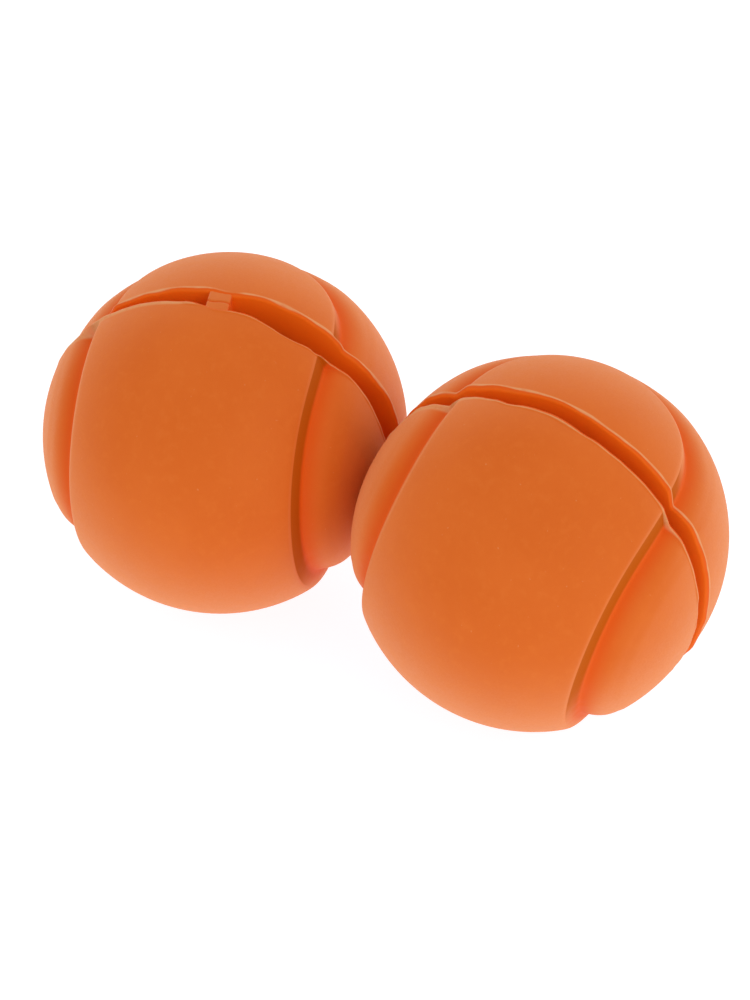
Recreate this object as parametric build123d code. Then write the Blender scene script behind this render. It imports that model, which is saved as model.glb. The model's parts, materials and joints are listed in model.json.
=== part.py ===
from build123d import *
import os
from math import cos, pi, sin

# A pair of hollow rubber balls. Each ball is two half shells joined by one short moulded strap,
# a live hinge that crosses the slit between them. A seam groove like a tennis ball's runs over
# both halves. Millimetres, +Z up, the floor is Z = 0, and X runs from the left ball to the right.

# The ball
BALL_RADIUS = 32.5
WALL = 8.0
RIM_ROUNDING = 0.6

# The seam groove: its centre line is a curve of three cosines, put on the sphere
GROOVE_HALF_WIDTH = 3.3
GROOVE_DEPTH = 2.0
GROOVE_ROOT_HALF_WIDTH = 0.5
SEAM_THIRD_HARMONIC = 0.268
SEAM_HEIGHT = 0.714
SEAM_POINTS = 48

# The strap and the slit that it crosses
STRAP_WIDTH = 4.2
STRAP_DEPTH = 4.5
STRAP_GAP = 4.2
STRAP_CLEARANCE = 0.45
STRAP_AZIMUTH = 135.0
STRAP_SIDE_STEP = -1.1
STRAP_ROUNDING = 0.5

# How the two balls lie, and how far each one's halves have moved from lying square to each other
BALL_SPACING = 65.2
LEFT_LIE = {"yaw": 15.0, "lean": 5.5, "roll": -1.2}
LEFT_HALVES = {"opening": -3.2, "twist": 1.6, "turn": 0.65, "side_step": 1.2}
RIGHT_LIE = {"yaw": -0.7, "lean": 4.1, "roll": 191.9}
RIGHT_HALVES = {"opening": -0.1, "twist": 1.5, "turn": -2.4, "side_step": -0.2}


def seam_point(turn, radius):
    """A point of the seam's centre line, at a radius; turn runs from 0 to 2 pi."""
    direction = Vector(
        cos(turn) + SEAM_THIRD_HARMONIC * cos(3 * turn),
        sin(turn) - SEAM_THIRD_HARMONIC * sin(3 * turn),
        SEAM_HEIGHT * sin(2 * turn),
    )
    return direction.normalized() * radius


def seam_line(radius):
    points = [seam_point(2 * pi * i / SEAM_POINTS, radius) for i in range(SEAM_POINTS)]
    return Spline(*points, periodic=True)


def seam_groove():
    """The cutter for the groove: a blunt V swept along the seam, pointing at the ball's centre."""
    path = seam_line(BALL_RADIUS)
    outer = GROOVE_DEPTH
    top_half_width = GROOVE_HALF_WIDTH * (GROOVE_DEPTH + outer) / GROOVE_DEPTH
    start = path @ 0
    plane = Plane(origin=start, x_dir=start.cross(path % 0), z_dir=path % 0)
    section = plane * Polygon(
        (-top_half_width, outer),
        (-GROOVE_ROOT_HALF_WIDTH, -GROOVE_DEPTH),
        (GROOVE_ROOT_HALF_WIDTH, -GROOVE_DEPTH),
        (top_half_width, outer),
        align=None,
    )
    return sweep(section, path=path, binormal=seam_line(BALL_RADIUS / 2))


def half_shell():
    """The half above Z = 0, with its pole on +Z and its rim in the plane Z = 0."""
    shell = Sphere(BALL_RADIUS) - Sphere(BALL_RADIUS - WALL)
    half = split(shell, Plane.XY, keep=Keep.TOP)
    half = fillet(half.edges().filter_by(GeomType.CIRCLE), RIM_ROUNDING)
    return half - seam_groove()


def strap():
    """The strap, flush with the sphere at +X, clear of both rims and a little to one side."""
    length = STRAP_GAP - 2 * STRAP_CLEARANCE
    block = Pos(BALL_RADIUS, STRAP_SIDE_STEP, 0) * Box(2 * STRAP_DEPTH, STRAP_WIDTH, length)
    block = fillet(block.edges().filter_by(Axis.Z), STRAP_ROUNDING)
    return block & Sphere(BALL_RADIUS)


def about_hinge(angle):
    """A turn about the hinge line, which is parallel to Y and touches the sphere at the strap."""
    return Pos(BALL_RADIUS, 0, 0) * Rot(0, angle, 0) * Pos(-BALL_RADIUS, 0, 0)


def half_place(side, opening, twist, turn, side_step):
    """Where a half lies in its ball: side is 1 for the front half and -1 for the back half."""
    skewed = Rot(-side * twist / 2, 0, 0) * Rot(0, 0, side * turn / 2)
    return about_hinge(side * opening / 2) * skewed * Pos(0, side * side_step / 2, side * STRAP_GAP / 2)


def ball(half, halves):
    """Front half, back half and strap of a ball: strap at +X, front pole at +Z, centre at 0."""
    to_strap = Rot(0, 0, -STRAP_AZIMUTH)
    front = half_place(1, **halves) * to_strap * half
    back = half_place(-1, **halves) * to_strap * Rot(180, 0, 0) * half
    return {"front_half": front, "back_half": back, "hinge_strap": strap()}


def resting_place(pieces, x, yaw, lean, roll):
    """Where a ball lies: front pole towards -Y and strap up, then rolled, leant, yawed and let down."""
    strap_up = Plane(origin=(0, 0, 0), x_dir=(0, 0, 1), z_dir=(0, -1, 0)).location
    place = Pos(x, 0, 0) * Rot(0, 0, yaw) * Rot(lean, 0, 0) * Rot(0, roll, 0) * strap_up
    bottom = min((place * piece).bounding_box().min.Z for piece in pieces.values())
    return Pos(0, 0, -bottom) * place


def pair():
    """Both balls' pieces by node name, about the point of the floor midway between them."""
    half = half_shell()
    left = ball(half, LEFT_HALVES)
    right = ball(half, RIGHT_HALVES)
    left_place = resting_place(left, -BALL_SPACING / 2, **LEFT_LIE)
    right_place = resting_place(right, BALL_SPACING / 2, **RIGHT_LIE)
    nodes = {f"left_ball_{name}": left_place * piece for name, piece in left.items()}
    nodes |= {f"right_ball_{name}": right_place * piece for name, piece in right.items()}
    middle = Compound(list(nodes.values())).bounding_box().center()
    return {name: Pos(-middle.X, -middle.Y, 0) * piece for name, piece in nodes.items()}


os.makedirs("parts", exist_ok=True)
for name, piece in pair().items():
    export_step(piece, f"parts/{name}.step")
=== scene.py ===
import json
import math

import bmesh
import bpy
import numpy as np
from mathutils import Matrix, Vector, noise


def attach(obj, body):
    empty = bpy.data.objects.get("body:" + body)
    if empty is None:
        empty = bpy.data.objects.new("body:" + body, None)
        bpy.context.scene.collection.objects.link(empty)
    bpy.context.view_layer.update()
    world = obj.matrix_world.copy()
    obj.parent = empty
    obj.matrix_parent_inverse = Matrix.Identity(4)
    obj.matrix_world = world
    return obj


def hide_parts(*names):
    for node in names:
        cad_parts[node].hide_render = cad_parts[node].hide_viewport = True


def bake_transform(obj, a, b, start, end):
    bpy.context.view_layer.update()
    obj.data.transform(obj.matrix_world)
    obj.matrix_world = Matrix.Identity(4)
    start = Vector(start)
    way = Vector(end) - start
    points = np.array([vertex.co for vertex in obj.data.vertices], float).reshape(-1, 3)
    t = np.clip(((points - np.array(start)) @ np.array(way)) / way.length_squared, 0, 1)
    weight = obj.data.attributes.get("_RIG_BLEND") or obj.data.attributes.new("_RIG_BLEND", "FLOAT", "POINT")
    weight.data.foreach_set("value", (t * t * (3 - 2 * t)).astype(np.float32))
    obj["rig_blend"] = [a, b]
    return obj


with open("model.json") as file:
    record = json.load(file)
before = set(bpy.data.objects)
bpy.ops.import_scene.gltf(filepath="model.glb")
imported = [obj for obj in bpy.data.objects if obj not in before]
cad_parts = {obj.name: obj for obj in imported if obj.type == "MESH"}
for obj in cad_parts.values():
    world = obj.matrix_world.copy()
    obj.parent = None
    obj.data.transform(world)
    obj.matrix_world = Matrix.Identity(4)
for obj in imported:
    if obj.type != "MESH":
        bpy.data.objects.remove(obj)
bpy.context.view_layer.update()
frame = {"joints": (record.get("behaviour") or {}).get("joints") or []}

# The balls' driving dimensions, in metres and degrees, as in the CAD source
BALL_RADIUS = 0.0325
WALL = 0.008
GROOVE_HALF_WIDTH = 0.0033
GROOVE_DEPTH = 0.0020
SEAM_THIRD_HARMONIC = 0.268
SEAM_HEIGHT = 0.714
STRAP_WIDTH = 0.0042
STRAP_DEPTH = 0.0045
STRAP_GAP = 0.0042
STRAP_AZIMUTH = 135
STRAP_SIDE_STEP = -0.0011
LEFT_LIE = {"yaw": 15.0, "lean": 5.5, "roll": -1.2}
LEFT_HALVES = {"opening": -3.2, "twist": 1.6, "turn": 0.65, "side_step": 0.0012}
RIGHT_LIE = {"yaw": -0.7, "lean": 4.1, "roll": 191.9}
RIGHT_HALVES = {"opening": -0.1, "twist": 1.5, "turn": -2.4, "side_step": -0.0002}

MM = 0.001

# How finely the surfaces are meshed
SEAM_SAMPLES = 560
SEAM_LOOKUP = 4000
SEAM_FINE_STEPS = 20001
SEAM_TANGENT_STEP = 1e-4
LOOKUP_PARTS = 64
MERGE_DISTANCE = 2e-6
PANEL_ROWS = 16
STRIP_OFFSETS = [0, 0.18, 0.38, 0.65, 1.0, 1.4, 1.9, 2.4, 2.75, 3.0, 3.2, 3.4, 3.6, 3.9, 4.4, 5.0, 5.7, 6.6]
MEDIAL_END = math.radians(95)
RIM_BAND_SHARES = (0.85, 0.7, 0.55, 0.42, 0.32, 0.24, 0.17, 0.11, 0.05)
RIM_FACE_SHARES = (0.06, 0.15, 0.3, 0.6, 1.0)
LIP_STEPS = 8
INNER_STEPS = 3
HOLLOW_STEPS = 18

# The groove's moulded shape: how round its root and shoulder are, and its long soft flank
ROOT_ROUNDING = 0.00030
SHOULDER_ROUNDING = 0.00028
LOBE_FLANK_WIDTH = 0.0062
LOBE_FLANK_CURVE = 2.2

# The rims: height of the band that is remade, the lip's rounding, the flash left by the mould, the
# rounding into the hollow, how far in from the rim it is warped, and how far every rim stands forward
RIM_BAND = 0.0024
LIP_ROUNDING = 0.00060
LIP_ROUNDING_SPREAD = 0.00025
FLASH_HEIGHT = 0.00012
FLASH_WIDTH = 0.00022
INNER_ROUNDING = 0.0005
WARP_REACH = 0.009
RIM_ADVANCE = 0.00030

# How uneven the rims are: each thing's mean and spread as a share of its own size, and its waves a turn
ROUNDING_WAVES = 1.7
FLASH_MEAN = 0.8
FLASH_SPREAD = 2.2
FLASH_MOST = 2.6
FLASH_WAVES = 11.0
WEB_MEAN = 0.55
WEB_SPREAD = 0.9
WEB_LEAST, WEB_MOST = 0.1, 0.9
WEB_WAVES = 1.1
PALE_SPREAD = 1.1
PALE_WAVES = 6.0

# The pale line where a lip is rubbed: its least width, and the degrees from the strap where it fades out
PALE_MIN_WIDTH = 0.00004
STRAP_AWAY = 5.0

# The groove's paint: a painted highlight along the ridge above its crisp flank, and painted shade on that
# flank, which fades near the root
RIDGE_HIGHLIGHT = 0.22
RIDGE_WIDTH = 0.00030
FLANK_SHADE_EDGE = 0.00030
FLANK_SHADE_FADE = 0.0010
FLANK_SHADE_START = 0.0001

# The share of undusted rubber with painted shade in the groove's root and in the hollow; a rim's face is 1,
# where the painted shade gives way to painted bounce light
GROOVE_FRESH_AND_SHADING = 0.5
HOLLOW_FRESH_AND_SHADING = 0.5

# Each half: a seed for its unevenness; where its rim is warped, as azimuth in the seam's frame, how far
# the rim draws back in mm and the dip's width; how wide its pale line is, and where it is wider, in the
# same three figures; and where flash bridges the groove's end more or less than elsewhere, as a share
LEFT_FRONT = {
    "seed": 1.3,
    "dips": [
        (106, 1.55, 10), (155, -0.55, 15), (80, -0.45, 7), (58, 0.7, 8), (96.5, 0.45, 1.8), (131, 0.9, 4),
        (-72, 0.45, 40),
    ],
    "pale_width": 0.00013,
    "pale_marks": [(155, 0.44, 22), (184, 0.60, 12), (112, -0.35, 26)],
    "bridged": [(180, 0.8, 9)],
}
LEFT_BACK = {
    "seed": 5.1,
    "dips": [(-117, 0.35, 10), (-83, -0.45, 8), (-66, 0.4, 7), (-133, -0.7, 4.5), (72, 0.45, 40)],
    "pale_width": 0.00030,
    "pale_marks": [(-112, 0.14, 24), (-62, 0.25, 8)],
    "bridged": [],
}
RIGHT_FRONT = {
    "seed": 11.7,
    "dips": [(-8, -0.75, 14), (-37, -0.65, 8), (-24, 0.45, 3), (13, -1.2, 9)],
    "pale_width": 0.00011,
    "pale_marks": [(22, 0.65, 22), (-2, 0.45, 10), (-88, 0.15, 6)],
    "bridged": [],
}
RIGHT_BACK = {
    "seed": 23.9,
    "dips": [(6, -0.7, 12), (22, -0.75, 12), (60, -0.25, 8)],
    "pale_width": 0.00030,
    "pale_marks": [(-6, 0.30, 12)],
    "bridged": [(90, -0.5, 12)],
}


# ---------------------------------------------------------------- the surface of a ball

def unit(vectors):
    return vectors / np.linalg.norm(vectors, axis=-1, keepdims=True)


def seam_directions(turn):
    """Directions from the ball's centre to the seam's centre line."""
    return unit(np.stack([
        np.cos(turn) + SEAM_THIRD_HARMONIC * np.cos(3 * turn),
        np.sin(turn) - SEAM_THIRD_HARMONIC * np.sin(3 * turn),
        SEAM_HEIGHT * np.sin(2 * turn),
    ], axis=-1))


def even_seam(count):
    """Directions along the seam, evenly spaced, and the sideways direction at each of them."""
    fine = np.linspace(0, 2 * math.pi, SEAM_FINE_STEPS)
    steps = np.linalg.norm(np.diff(seam_directions(fine), axis=0), axis=1)
    travelled = np.concatenate([[0], np.cumsum(steps)])
    turn = np.interp(np.arange(count) * travelled[-1] / count, travelled, fine)
    centre = seam_directions(turn)
    ahead = seam_directions(turn + SEAM_TANGENT_STEP) - seam_directions(turn - SEAM_TANGENT_STEP)
    return centre, unit(np.cross(centre, ahead))


SEAM_CENTRE, SEAM_SIDE = even_seam(SEAM_LOOKUP)


def groove_depth(offset):
    """Depth of the groove at a signed distance from the seam; its crisp edge is on the positive side."""
    distance = np.sqrt(offset ** 2 + ROOT_ROUNDING ** 2) - ROOT_ROUNDING
    panel_flank = 1 - distance / GROOVE_HALF_WIDTH
    lobe_flank = 1 - distance / LOBE_FLANK_WIDTH
    lobe_flank = np.sign(lobe_flank) * np.abs(lobe_flank) ** LOBE_FLANK_CURVE
    flank = GROOVE_DEPTH * np.where(offset > 0, panel_flank, lobe_flank)
    depth = (flank + np.sqrt(flank ** 2 + SHOULDER_ROUNDING ** 2)) / 2
    fade = np.clip((STRIP_OFFSETS[-1] * MM - np.abs(offset)) / MM, 0, 1)
    return depth * fade


def seam_offset(directions):
    """Signed distance along the sphere from the seam's centre line to each direction."""
    offsets = []
    for part in np.array_split(directions, LOOKUP_PARTS):
        closeness = part @ SEAM_CENTRE.T
        nearest = closeness.argmax(axis=1)
        distance = BALL_RADIUS * np.arccos(np.clip(closeness.max(axis=1), -1, 1))
        side = np.sign((part * SEAM_SIDE[nearest]).sum(axis=1))
        offsets.append(distance * side)
    return np.concatenate(offsets)


def surface_radius(directions, crisp_side):
    return BALL_RADIUS - groove_depth(crisp_side * seam_offset(directions))


def panel_rows(edge, pole, along):
    """Rows from a panel's edge to its middle line, which runs along a great circle through its pole."""
    angle = np.arctan2(edge @ along, edge @ pole)
    angle = np.clip(angle, -MEDIAL_END, MEDIAL_END)[:, None]
    middle = np.cos(angle) * pole + np.sin(angle) * along
    between = np.arccos(np.clip((edge * middle).sum(axis=1, keepdims=True), -1, 1))
    rows = []
    for row in range(1, PANEL_ROWS + 1):
        share = row / PANEL_ROWS
        rows.append(unit(np.sin((1 - share) * between) * edge + np.sin(share * between) * middle))
    return rows


def sphere_rows():
    """Rings of directions that cover the whole ball, from one panel's middle line to the other's."""
    centre, side = even_seam(SEAM_SAMPLES)
    offsets = [x * MM / BALL_RADIUS for x in STRIP_OFFSETS]
    strip = [-x for x in reversed(offsets[1:])] + offsets
    rows = [unit(math.cos(x) * centre + math.sin(x) * side) for x in strip]
    up = np.array([0.0, 0.0, 1.0])
    near = panel_rows(rows[-1], up, unit(np.array([-1.0, 1.0, 0.0])))
    far = panel_rows(rows[0], -up, unit(np.array([1.0, 1.0, 0.0])))
    return list(reversed(far)) + rows + near


def grooved_ball(crisp_side):
    """The ball's whole outer surface as a bmesh, in its own frame, with the slit's plane at Z = 0."""
    rows = sphere_rows()
    directions = np.concatenate(rows)
    points = directions * surface_radius(directions, crisp_side)[:, None]
    mesh = bmesh.new()
    verts = [mesh.verts.new(p) for p in points]
    count = SEAM_SAMPLES
    for row in range(len(rows) - 1):
        for i in range(count):
            j = (i + 1) % count
            corners = (row * count + i, row * count + j, (row + 1) * count + j, (row + 1) * count + i)
            mesh.faces.new([verts[c] for c in corners])
    bmesh.ops.remove_doubles(mesh, verts=mesh.verts, dist=MERGE_DISTANCE)
    bmesh.ops.recalc_face_normals(mesh, faces=mesh.faces)
    return mesh


# ---------------------------------------------------------------- a half shell

def wobble(azimuth, seed, scale):
    """Slow, smooth unevenness round the rim, from -1 to 1 or so."""
    return np.array([
        noise.noise(Vector((math.cos(a) * scale, math.sin(a) * scale, seed))) for a in azimuth
    ])


def bumps_along(azimuth, stretches):
    """The sum of smooth bumps along the rim, each an azimuth, a height and a width in degrees."""
    total = np.zeros(len(azimuth))
    for centre, height, width in stretches:
        away = (np.degrees(azimuth) - centre + 180) % 360 - 180
        total += height * np.exp(-(away / width) ** 2)
    return total


def rim_profile(azimuth, side, seed, pale_width, pale_marks, bridged):
    """Rings over the lip, across the rim's face and up the hollow: points, paleness, and the share of undusted
    rubber with painted shade and bounce light.
    """
    ring = np.stack([np.cos(azimuth), np.sin(azimuth)], axis=-1)
    level = np.zeros(len(azimuth))
    rounding = LIP_ROUNDING + LIP_ROUNDING_SPREAD * wobble(azimuth, seed, ROUNDING_WAVES)
    flash = FLASH_MEAN + FLASH_SPREAD * wobble(azimuth, seed + 3.0, FLASH_WAVES)
    flash = FLASH_HEIGHT * np.clip(flash, 0, FLASH_MOST)
    web = WEB_MEAN + WEB_SPREAD * wobble(azimuth, seed + 5.0, WEB_WAVES) + bumps_along(azimuth, bridged)
    web = np.clip(web, WEB_LEAST, WEB_MOST)
    pale_width = pale_width * (1 + PALE_SPREAD * wobble(azimuth, seed + 7.0, PALE_WAVES))
    pale_width = np.maximum(pale_width + MM * bumps_along(azimuth, pale_marks), PALE_MIN_WIDTH)
    strap_azimuth = side * (STRAP_AZIMUTH + math.degrees(STRAP_SIDE_STEP / BALL_RADIUS))
    from_strap = (np.degrees(azimuth) - strap_azimuth + 180) % 360 - 180
    pale_most = 1 - np.exp(-(from_strap / STRAP_AWAY) ** 4)

    def outer(height):
        flat = np.sqrt(BALL_RADIUS ** 2 - height ** 2)
        directions = np.concatenate([ring * flat[:, None], height[:, None]], axis=1) / BALL_RADIUS
        radius = surface_radius(directions, side)
        spread = np.exp(-((height - rounding) / FLASH_WIDTH) ** 2)
        notch = web * (BALL_RADIUS - radius)
        return np.sqrt(radius ** 2 - height ** 2) + (flash + notch) * spread

    def paleness(distance):
        return pale_most * np.exp(-(distance / pale_width) ** 2)

    # The last value of each ring rises over the lip to painted bounce light on the rim's face and falls to
    # painted shade in the hollow
    profile = []
    for share in RIM_BAND_SHARES:
        above = (RIM_BAND - rounding) * share
        profile.append((outer(rounding + above), rounding + above, paleness(above), level))
    edge = outer(rounding)
    for step in range(LIP_STEPS + 1):
        share = step / LIP_STEPS
        turn = share * math.pi / 2
        radius = edge - rounding * (1 - math.cos(turn))
        height = rounding * (1 - math.sin(turn))
        profile.append((radius, height, paleness(1.6 * rounding * turn), level + share ** 0.5))
    hollow = BALL_RADIUS - WALL
    inner_edge = hollow + INNER_ROUNDING
    for share in RIM_FACE_SHARES:
        profile.append(((edge - rounding) * (1 - share) + inner_edge * share, level, level, level + 1))
    for step in range(1, INNER_STEPS + 1):
        turn = step / INNER_STEPS * math.pi / 2
        radius = level + inner_edge - INNER_ROUNDING * math.sin(turn)
        height = level + INNER_ROUNDING * (1 - math.cos(turn))
        profile.append((radius, height, level, level + 1 - (1 - HOLLOW_FRESH_AND_SHADING) * step / INNER_STEPS))
    for step in range(1, HOLLOW_STEPS):
        polar = math.pi / 2 * (1 - step / HOLLOW_STEPS)
        radius = level + hollow * math.sin(polar)
        profile.append((radius, level + hollow * math.cos(polar), level, level + HOLLOW_FRESH_AND_SHADING))
    return [
        (np.concatenate([ring * radius[:, None], height[:, None]], axis=1), pale, fresh_and_shading)
        for radius, height, pale, fresh_and_shading in profile
    ]


def warp(mesh, dips):
    """Draws parts of the rim back towards the pole, or lets them stand proud, along the sphere."""
    verts = mesh.verts[:]
    azimuth = np.array([math.atan2(v.co.y, v.co.x) for v in verts])
    shift = MM * bumps_along(azimuth, dips) - RIM_ADVANCE
    for v, drawn_back in zip(verts, shift):
        length = v.co.length
        v.co.z += drawn_back * max(1 - v.co.z / WARP_REACH, 0) ** 2
        v.co *= length / v.co.length


def add_paint_layers(mesh):
    """The layers that the rubber's colour reads: rubbed pale with the ridge's painted highlight, undusted
    rubber with painted shade and bounce light, and painted shade on the groove's crisp flank.
    """
    for name in ("lip", "fresh_and_shading", "flank_shade"):
        mesh.verts.layers.float.new(name)


def boundary_loop(mesh):
    """The cut's vertices in order of azimuth."""
    edges = [e for e in mesh.edges if e.is_boundary]
    verts = {v for e in edges for v in e.verts}
    return sorted(verts, key=lambda v: math.atan2(v.co.y, v.co.x))


def close_half(mesh, side, **rim):
    """Adds the rim, with its lip, and the hollow's wall to the outer surface above the cut."""
    pale_layer = mesh.verts.layers.float["lip"]
    fresh_and_shading_layer = mesh.verts.layers.float["fresh_and_shading"]
    loop = boundary_loop(mesh)
    azimuth = np.array([math.atan2(v.co.y, v.co.x) for v in loop])
    count = len(loop)
    previous = loop
    # Each ring brings its paleness and its share of undusted rubber with painted shade and bounce light
    for points, pale, fresh_and_shading in rim_profile(azimuth, side, **rim):
        current = [mesh.verts.new(p) for p in points]
        for i, v in enumerate(current):
            v[pale_layer] = pale[i]
            v[fresh_and_shading_layer] = fresh_and_shading[i]
        for i in range(count):
            j = (i + 1) % count
            mesh.faces.new([previous[i], previous[j], current[j], current[i]])
        previous = current
    pole = mesh.verts.new((0, 0, BALL_RADIUS - WALL))
    pole[fresh_and_shading_layer] = HOLLOW_FRESH_AND_SHADING
    for i in range(count):
        mesh.faces.new([previous[i], previous[(i + 1) % count], pole])


def paint_groove(mesh, side):
    """Marks the groove as undusted rubber with painted shade in its root, paints shade on its crisp flank and a
    highlight on the ridge above that.
    """
    layers = mesh.verts.layers.float
    pale, fresh_and_shading, flank_shade = layers["lip"], layers["fresh_and_shading"], layers["flank_shade"]
    outside = [v for v in mesh.verts if v.co.length > BALL_RADIUS - GROOVE_DEPTH * 1.05]
    offsets = side * seam_offset(unit(np.array([v.co for v in outside])))
    # A painted highlight along the ridge above the crisp flank, kept in the lip layer with the rubbed paleness
    ridge = RIDGE_HIGHLIGHT * np.exp(-((offsets - GROOVE_HALF_WIDTH - RIDGE_WIDTH) / RIDGE_WIDTH) ** 2)
    # Painted shade on the crisp flank, which faces away from the light; it fades out near the root
    flank = np.clip((GROOVE_HALF_WIDTH - offsets) / FLANK_SHADE_EDGE, 0, 1)
    flank *= np.clip((offsets - FLANK_SHADE_START) / FLANK_SHADE_FADE, 0, 1)
    # Deeper in the groove, more undusted rubber with painted shade
    for v, depth, pale_marks, shaded in zip(outside, groove_depth(offsets), ridge, flank):
        if v[fresh_and_shading] == 0:
            v[pale] = max(v[pale], pale_marks)
            v[fresh_and_shading] = GROOVE_FRESH_AND_SHADING * depth / GROOVE_DEPTH
            v[flank_shade] = shaded


def placed_object(name, mesh, matrix):
    """The mesh as a smooth object of the scene, in its place."""
    data = bpy.data.meshes.new(name)
    mesh.to_mesh(data)
    mesh.free()
    data.transform(matrix)
    data.shade_smooth()
    obj = bpy.data.objects.new(name, data)
    bpy.context.scene.collection.objects.link(obj)
    return obj


def half_shell(name, matrix, side, dips, **rim):
    """One half shell, cut from the whole grooved ball, closed, warped and put in its place."""
    mesh = grooved_ball(side)
    add_paint_layers(mesh)
    bmesh.ops.bisect_plane(
        mesh, geom=mesh.verts[:] + mesh.edges[:] + mesh.faces[:], dist=1e-6,
        plane_co=(0, 0, RIM_BAND), plane_no=(0, 0, 1), clear_inner=True,
    )
    close_half(mesh, side, **rim)
    bmesh.ops.recalc_face_normals(mesh, faces=mesh.faces)
    paint_groove(mesh, side)
    warp(mesh, dips)
    return placed_object(name, mesh, matrix)


# ---------------------------------------------------------------- where a ball lies

def turned(angle, axis):
    return Matrix.Rotation(math.radians(angle), 4, axis)


def ball_place(lie, joint_name):
    """The matrix that lays a ball, strap at +X and front pole at +Z, where its hinge is."""
    joint = next(j for j in frame["joints"] if j["name"] == joint_name)
    strap_up = Matrix(((0, -1, 0, 0), (0, 0, -1, 0), (1, 0, 0, 0), (0, 0, 0, 1)))
    turn = turned(lie["yaw"], "Z") @ turned(lie["lean"], "X") @ turned(lie["roll"], "Y") @ strap_up
    return Matrix.Translation(joint["pos_m"]) @ turn @ Matrix.Translation((-BALL_RADIUS, 0, 0))


def about_hinge(angle):
    """A turn about the hinge line, which is parallel to Y and touches the sphere at the strap."""
    hinge = Matrix.Translation((BALL_RADIUS, 0, 0))
    return hinge @ turned(angle, "Y") @ hinge.inverted()


def half_place(side, opening, twist, turn, side_step):
    """Where a half lies in its ball: side is 1 for the front half and -1 for the back half."""
    skewed = turned(-side * twist / 2, "X") @ turned(side * turn / 2, "Z")
    apart = Matrix.Translation((0, side * side_step / 2, side * STRAP_GAP / 2))
    flipped = turned(0 if side > 0 else 180, "X")
    return about_hinge(side * opening / 2) @ skewed @ apart @ turned(-STRAP_AZIMUTH, "Z") @ flipped


# ---------------------------------------------------------------- materials

def node(tree, kind, **settings):
    made = tree.nodes.new(kind)
    for name, value in settings.items():
        setattr(made, name, value)
    return made


def noise_of(tree, vector, scale, detail, roughness):
    """A noise texture; scale is in features per metre."""
    made = node(tree, "ShaderNodeTexNoise")
    made.inputs["Scale"].default_value = scale
    made.inputs["Detail"].default_value = detail
    made.inputs["Roughness"].default_value = roughness
    tree.links.new(vector, made.inputs["Vector"])
    return made.outputs["Fac"]


def ranged(tree, value, low, high, to_low, to_high):
    """The value's part between low and high, eased on to the range from to_low to to_high."""
    made = node(tree, "ShaderNodeMapRange", interpolation_type="SMOOTHSTEP")
    for name, x in zip(("From Min", "From Max", "To Min", "To Max"), (low, high, to_low, to_high)):
        made.inputs[name].default_value = x
    tree.links.new(value, made.inputs["Value"])
    return made.outputs["Result"]


def product(tree, first, second):
    made = node(tree, "ShaderNodeMath", operation="MULTIPLY")
    tree.links.new(first, made.inputs[0])
    tree.links.new(second, made.inputs[1])
    return made.outputs["Value"]


def tinted(tree, share, under, tint):
    """A colour, or a colour socket, with a share of a tint mixed in."""
    made = node(tree, "ShaderNodeMix", data_type="RGBA")
    tree.links.new(share, made.inputs[0])
    if isinstance(under, tuple):
        made.inputs[6].default_value = (*under, 1)
    else:
        tree.links.new(under, made.inputs[6])
    made.inputs[7].default_value = (*tint, 1)
    return made.outputs[2]


def bump(tree, height, distance, strength):
    made = node(tree, "ShaderNodeBump")
    made.inputs["Distance"].default_value = distance
    made.inputs["Strength"].default_value = strength
    tree.links.new(height, made.inputs["Height"])
    return made


ORANGE = (0.740, 0.150, 0.016)
ORANGE_WORN = (0.765, 0.175, 0.026)
ORANGE_DEEP = (0.720, 0.140, 0.013)
# Painted shade: the darker, redder orange of the groove's root and of the hollow
ORANGE_ROOT_SHADE = (0.800, 0.105, 0.003)
# Painted bounce light: the bright, saturated orange of undusted rubber on the slit's rim faces and the strap's
# sides
ORANGE_FRESH_BOUNCE_LIT = (0.960, 0.180, 0.005)
# Painted shade: the dark brownish orange of the groove's crisp flank
ORANGE_FLANK_SHADE = (0.500, 0.095, 0.003)
# Painted sheen: the paler orange that the rubber turns where it is seen edge-on
GRAZING_SHEEN = (0.880, 0.340, 0.140)
# Dust specks and rubbed lips, and the painted highlight along the groove's ridge
DUST_AND_HIGHLIGHT = (0.800, 0.410, 0.190)

# The rubber's unevenness, in features per metre
MOTTLE_SCALE = 70
CLOUD_SCALE = 500
GRAIN_SCALE = 2600
SPECK_SCALE = 1500

# How much each tint covers where it is strongest
WORN_SHARE = 0.4
SPECK_SHARE = 0.25
# The root's painted shade, the slit's painted bounce light, the flank's painted shade and the painted edge-on
# sheen
ROOT_SHADE_SHARE = 0.92
FRESH_BOUNCE_LIT_SHARE = 0.95
FLANK_SHADE_SHARE = 0.92
GRAZING_SHEEN_SHARE = 0.70

# How the surface takes light: its roughness, its gloss and the height of its bumps
SMOOTHEST, ROUGHEST = 0.60, 0.72
GLOSS = 0.16
GLOSS_SHADED_FLANK = 0.02
GRAIN_HEIGHT = 0.00005
CLOUD_HEIGHT = 0.00010


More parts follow.
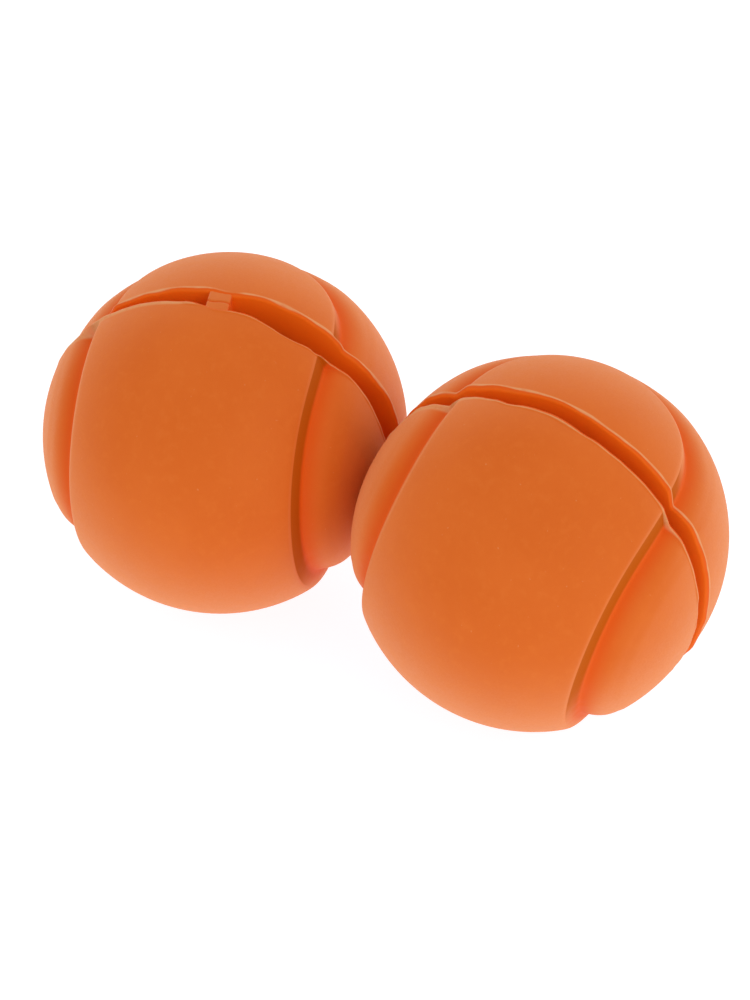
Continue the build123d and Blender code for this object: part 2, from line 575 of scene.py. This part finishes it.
def rubber(name, lip_share):
    """Matte moulded rubber: faintly mottled orange with a painted pale sheen where it is seen edge-on, painted
    shade on the groove's crisp flank, and purer, undusted rubber with painted shade and bounce light where
    nothing rubs it, in the groove and the slit.
    """
    material = bpy.data.materials.new(name)
    material.use_nodes = True
    tree = material.node_tree
    shader = tree.nodes["Principled BSDF"]
    place = node(tree, "ShaderNodeTexCoord").outputs["Object"]
    mottle = noise_of(tree, place, MOTTLE_SCALE, 3.0, 0.55)
    cloud = noise_of(tree, place, CLOUD_SCALE, 4.0, 0.6)
    grain = noise_of(tree, place, GRAIN_SCALE, 2.0, 0.6)
    specks = noise_of(tree, place, SPECK_SCALE, 1.0, 0.5)
    lip = node(tree, "ShaderNodeAttribute", attribute_name="lip").outputs["Fac"]
    fresh_and_shading = node(tree, "ShaderNodeAttribute", attribute_name="fresh_and_shading").outputs["Fac"]
    flank_shade = node(tree, "ShaderNodeAttribute", attribute_name="flank_shade").outputs["Fac"]
    edge_on = node(tree, "ShaderNodeLayerWeight")
    edge_on.inputs["Blend"].default_value = 0.5
    # Painted shade on the crisp flank, less of it where the flank is seen edge-on
    flank_shade = product(tree, flank_shade, ranged(tree, edge_on.outputs["Facing"], 0.60, 0.85, 1.0, 0.15))
    # A painted pale sheen that grows as the surface turns edge-on, kept out of the groove, the slit and the
    # shaded flank
    grazing_sheen = ranged(tree, edge_on.outputs["Facing"], 0.15, 0.90, 0.0, GRAZING_SHEEN_SHARE)
    grazing_sheen = product(tree, grazing_sheen, ranged(tree, fresh_and_shading, 0.0, GROOVE_FRESH_AND_SHADING, 1.0, 0.1))
    grazing_sheen = product(tree, grazing_sheen, ranged(tree, flank_shade, 0.0, 1.0, 1.0, 0.1))
    grazing_sheen = product(tree, grazing_sheen, ranged(tree, grain, 0.3, 0.7, 0.8, 1.0))
    # Rubbed paleness on the lips and the strap, with the painted highlight along the groove's ridge
    pale_marks = ranged(tree, lip, 0.1, 0.9, 0.0, lip_share)
    pale_marks = product(tree, pale_marks, ranged(tree, cloud, 0.3, 0.6, 0.6, 1.0))
    colour = tinted(tree, ranged(tree, mottle, 0.35, 0.65, 0.0, 1.0), ORANGE, ORANGE_DEEP)
    colour = tinted(tree, ranged(tree, cloud, 0.45, 0.75, 0.0, WORN_SHARE), colour, ORANGE_WORN)
    colour = tinted(tree, ranged(tree, specks, 0.76, 0.82, 0.0, SPECK_SHARE), colour, DUST_AND_HIGHLIGHT)
    # Painted shade in the groove's root and in the hollow
    colour = tinted(tree, ranged(tree, fresh_and_shading, 0.0, GROOVE_FRESH_AND_SHADING, 0.0, ROOT_SHADE_SHARE), colour, ORANGE_ROOT_SHADE)
    # Painted bounce light on the slit's rim faces and the strap's sides
    colour = tinted(tree, ranged(tree, fresh_and_shading, GROOVE_FRESH_AND_SHADING, 1.0, 0.0, FRESH_BOUNCE_LIT_SHARE), colour, ORANGE_FRESH_BOUNCE_LIT)
    # Painted shade on the groove's crisp flank
    colour = tinted(tree, ranged(tree, flank_shade, 0.0, 1.0, 0.0, FLANK_SHADE_SHARE), colour, ORANGE_FLANK_SHADE)
    # The painted edge-on sheen
    colour = tinted(tree, grazing_sheen, colour, GRAZING_SHEEN)
    # Rubbed dust, with the painted highlight along the groove's ridge
    colour = tinted(tree, pale_marks, colour, DUST_AND_HIGHLIGHT)
    tree.links.new(colour, shader.inputs["Base Color"])
    tree.links.new(ranged(tree, cloud, 0.3, 0.7, SMOOTHEST, ROUGHEST), shader.inputs["Roughness"])
    fine = bump(tree, grain, GRAIN_HEIGHT, 0.5)
    soft = bump(tree, cloud, CLOUD_HEIGHT, 0.30)
    tree.links.new(fine.outputs["Normal"], soft.inputs["Normal"])
    tree.links.new(soft.outputs["Normal"], shader.inputs["Normal"])
    # Less gloss where the flank has painted shade
    gloss = ranged(tree, flank_shade, 0.0, 1.0, GLOSS, GLOSS_SHADED_FLANK)
    tree.links.new(gloss, shader.inputs["Specular IOR Level"])
    return material


# ---------------------------------------------------------------- the strap

# How finely it is meshed
STRAP_ROWS = 64
STRAP_TOP_POINTS = 11

# Its shape: rounded corners, wider towards its ends, a little skewed, and sunk into both rims
STRAP_ROUNDING = 0.00045
STRAP_FLARE = 0.0004
STRAP_FLARE_START = 0.6
STRAP_SKEW = 0.00026
STRAP_FRONT_EXTRA = 0.0008
STRAP_OVERLAP = 0.0012
STRAP_SINK = 0.00006

# The wavy crease across its top
CREASE_DEPTH = 0.00028
CREASE_WIDTH = 0.00017
CREASE_WAVE = 0.00012
CREASE_LONG_WAVE = 0.0011
CREASE_SHORT_WAVE = 0.00047
CREASE_HEIGHT = 0.0008

# Its paint: how pale its top is rubbed, and how deep its sides go from painted shade to painted bounce light on
# undusted rubber
STRAP_PALE = 0.3
STRAP_FRESH_AND_SHADING_DEPTH = 0.0009


def strap_outline(height, length):
    """The strap's section at a height along it: creased top, rounded corners, wider beside a rim."""
    reach = height / (length / 2)
    flare = max(abs(reach) - STRAP_FLARE_START, 0) ** 2 / (1 - STRAP_FLARE_START) ** 2
    half = STRAP_WIDTH / 2 + STRAP_FLARE * flare
    outside = math.sqrt(BALL_RADIUS ** 2 - height ** 2) - STRAP_SINK
    points = []
    for step in range(STRAP_TOP_POINTS):
        y = (half - STRAP_ROUNDING) * (2 * step / (STRAP_TOP_POINTS - 1) - 1)
        wave = math.sin(y / CREASE_LONG_WAVE) + 0.6 * math.sin(y / CREASE_SHORT_WAVE)
        from_crease = height - (CREASE_HEIGHT + CREASE_WAVE * wave)
        crease = CREASE_DEPTH * math.exp(-(from_crease / CREASE_WIDTH) ** 2)
        points.append((math.sqrt(outside ** 2 - y ** 2) - crease, y))
    top = points[0][0] - STRAP_ROUNDING
    bottom = BALL_RADIUS - STRAP_DEPTH + STRAP_ROUNDING
    side = half - STRAP_ROUNDING
    corners = (
        (top, side, (15, 30, 45, 60, 75, 90)),
        (bottom, side, (90, 112, 135, 158, 180)),
        (bottom, -side, (180, 202, 225, 248, 270)),
        (top, -side, (270, 285, 300, 315, 330, 345)),
    )
    for x, y, turns in corners:
        for turn in np.radians(turns):
            points.append((x + STRAP_ROUNDING * math.cos(turn), y + STRAP_ROUNDING * math.sin(turn)))
    aside = (STRAP_SIDE_STEP - STRAP_SKEW * reach) / BALL_RADIUS
    cos, sin = math.cos(aside), math.sin(aside)
    return [(x * cos - y * sin, x * sin + y * cos) for x, y in points]


def strap_mesh(name, low, high, matrix):
    """The strap between two heights, in the ball's frame, closed at both ends."""
    length = STRAP_GAP + 2 * STRAP_OVERLAP
    mesh = bmesh.new()
    add_paint_layers(mesh)
    previous = None
    for row in range(STRAP_ROWS + 1):
        height = low + (high - low) * row / STRAP_ROWS
        ring = [mesh.verts.new((x, y, height)) for x, y in strap_outline(height, length)]
        if previous:
            for i in range(len(ring)):
                j = (i + 1) % len(ring)
                mesh.faces.new([previous[i], previous[j], ring[j], ring[i]])
        else:
            mesh.faces.new(ring)
        previous = ring
    mesh.faces.new(previous)
    bmesh.ops.recalc_face_normals(mesh, faces=mesh.faces)
    lip = mesh.verts.layers.float["lip"]
    fresh_and_shading = mesh.verts.layers.float["fresh_and_shading"]
    for v in mesh.verts:
        depth = BALL_RADIUS - v.co.length
        v[lip] = STRAP_PALE if depth < STRAP_SINK + CREASE_DEPTH / 2 else 0
        # Deeper down the strap's sides, painted shade and then painted bounce light
        v[fresh_and_shading] = min(depth / STRAP_FRESH_AND_SHADING_DEPTH, 1)
    return placed_object(name, mesh, matrix)


# ---------------------------------------------------------------- the two balls

shell_rubber = rubber("shell_rubber", 0.7)
strap_rubber = rubber("strap_rubber", 0.4)
left_place = ball_place(LEFT_LIE, "left_ball_opening")
right_place = ball_place(RIGHT_LIE, "right_ball_opening")


def add_half(name, body, place, side, halves, shape):
    """One half of a ball: side is 1 for the front half and -1 for the back half."""
    obj = half_shell(name + "_shell", place @ half_place(side, **halves), side, **shape)
    obj.data.materials.append(shell_rubber)
    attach(obj, body)
    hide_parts(name)


add_half("left_ball_front_half", "left_ball", left_place, 1, LEFT_HALVES, LEFT_FRONT)
add_half("left_ball_back_half", "left_back", left_place, -1, LEFT_HALVES, LEFT_BACK)
add_half("right_ball_front_half", "right_front", right_place, 1, RIGHT_HALVES, RIGHT_FRONT)
add_half("right_ball_back_half", "right_back", right_place, -1, RIGHT_HALVES, RIGHT_BACK)

# How far a strap reaches into the back and the front half, and where its bend ends on each side
BACK_REACH = STRAP_GAP / 2 + STRAP_OVERLAP
FRONT_REACH = BACK_REACH + STRAP_FRONT_EXTRA
BEND = 0.0017


def add_strap(name, place, low, high, bodies, bend_from, bend_to, replaced):
    """A strap, or half of one, that bends from one body's hold to the other's."""
    obj = strap_mesh(name, low, high, place)
    obj.data.materials.append(strap_rubber)
    start = place @ Vector((BALL_RADIUS, 0, bend_from))
    end = place @ Vector((BALL_RADIUS, 0, bend_to))
    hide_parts(replaced)
    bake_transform(obj, *bodies, start=start, end=end)


add_strap("left_ball_strap", left_place, -BACK_REACH, FRONT_REACH, ("left_ball", "left_back"),
          BEND, -BEND, "left_ball_hinge_strap")
add_strap("right_ball_strap_front", right_place, 0, FRONT_REACH, ("right_strap", "right_front"),
          0, BEND, "right_ball_hinge_strap")
add_strap("right_ball_strap_back", right_place, -BACK_REACH, 0, ("right_strap", "right_back"),
          0, -BEND, "right_ball_hinge_strap")


# ---------------------------------------------------------------- floor, light and camera

TENT_STRENGTH = 0.99
OPENING_STRENGTH = 0.67
TENT_COLOUR = (1, 0.965, 0.91)
TENT_OPENING_FROM, TENT_OPENING_TO = -0.1, 0.95

FLOOR_SIZE = 3.0
FLOOR_HEIGHT = -0.0001
TABLE_GLOW = 0.86
TABLE_GLOW_COLOUR = (0.96, 1.0, 1.05)
ACRYLIC = (0.35, 0.35, 0.35)
ACRYLIC_PALE = (0.375, 0.375, 0.372)
ACRYLIC_ROUGHNESS = 0.8
ACRYLIC_GLOSS = 0.1

SOFTBOX_PLACE = (0.75, -0.35, 0.55)
SOFTBOX_AIM = (0, 0, 0.03)
SOFTBOX_SIZE = 0.6
SOFTBOX_POWER = 1.5

CAMERA_AZIMUTH = 29.6
CAMERA_ELEVATION = 37.94
CAMERA_DISTANCE = 0.7768
CAMERA_AIM = (0.00092, -0.00384, 0.03255)
CAMERA_LENS = 155.5
CAMERA_SENSOR = 36


def light_table():
    """White acrylic that is lit softly from below."""
    material = bpy.data.materials.new("white_acrylic")
    material.use_nodes = True
    tree = material.node_tree
    shader = tree.nodes["Principled BSDF"]
    place = node(tree, "ShaderNodeTexCoord").outputs["Object"]
    shade = tinted(tree, noise_of(tree, place, 900, 2.0, 0.5), ACRYLIC, ACRYLIC_PALE)
    tree.links.new(shade, shader.inputs["Base Color"])
    shader.inputs["Roughness"].default_value = ACRYLIC_ROUGHNESS
    shader.inputs["Specular IOR Level"].default_value = ACRYLIC_GLOSS
    shader.inputs["Emission Color"].default_value = (*TABLE_GLOW_COLOUR, 1)
    shader.inputs["Emission Strength"].default_value = TABLE_GLOW
    return material


def add_floor():
    mesh = bmesh.new()
    bmesh.ops.create_grid(mesh, x_segments=1, y_segments=1, size=FLOOR_SIZE)
    data = bpy.data.meshes.new("studio_floor")
    mesh.to_mesh(data)
    mesh.free()
    data.materials.append(light_table())
    floor = bpy.data.objects.new("studio_floor", data)
    floor.location.z = FLOOR_HEIGHT
    bpy.context.scene.collection.objects.link(floor)


def add_light(name, place, aim, size, power):
    data = bpy.data.lights.new(name, "AREA")
    data.shape = "DISK"
    data.size = size
    data.energy = power
    light = bpy.data.objects.new(name, data)
    light.location = place
    light.rotation_euler = (Vector(aim) - Vector(place)).to_track_quat("-Z", "Y").to_euler()
    bpy.context.scene.collection.objects.link(light)


def camera_side():
    """Direction from the balls to the camera."""
    azimuth, elevation = math.radians(CAMERA_AZIMUTH), math.radians(CAMERA_ELEVATION)
    return Vector((
        math.sin(azimuth) * math.cos(elevation),
        -math.cos(azimuth) * math.cos(elevation),
        math.sin(elevation),
    ))


def add_world():
    """A light tent: white all round, and dimmer on the side that the camera looks in from."""
    world = bpy.data.worlds.new("light_tent")
    world.use_nodes = True
    tree = world.node_tree
    place = node(tree, "ShaderNodeTexCoord").outputs["Generated"]
    towards = node(tree, "ShaderNodeVectorMath", operation="DOT_PRODUCT")
    tree.links.new(place, towards.inputs[0])
    towards.inputs[1].default_value = camera_side()
    towards_camera = towards.outputs["Value"]
    strength = ranged(tree, towards_camera, TENT_OPENING_FROM, TENT_OPENING_TO, TENT_STRENGTH, OPENING_STRENGTH)
    tree.links.new(strength, tree.nodes["Background"].inputs["Strength"])
    tree.nodes["Background"].inputs["Color"].default_value = (*TENT_COLOUR, 1)
    bpy.context.scene.world = world


def add_camera():
    data = bpy.data.cameras.new("camera")
    data.sensor_fit = "VERTICAL"
    data.sensor_height = CAMERA_SENSOR
    data.lens = CAMERA_LENS
    data.clip_start = 0.05
    camera = bpy.data.objects.new("camera", data)
    camera.location = Vector(CAMERA_AIM) + camera_side() * CAMERA_DISTANCE
    camera.rotation_euler = camera_side().to_track_quat("Z", "Y").to_euler()
    bpy.context.scene.collection.objects.link(camera)
    bpy.context.scene.camera = camera


add_floor()
add_world()
add_light("right_softbox", SOFTBOX_PLACE, SOFTBOX_AIM, SOFTBOX_SIZE, SOFTBOX_POWER)
add_camera()
bpy.context.scene.view_settings.view_transform = "Standard"
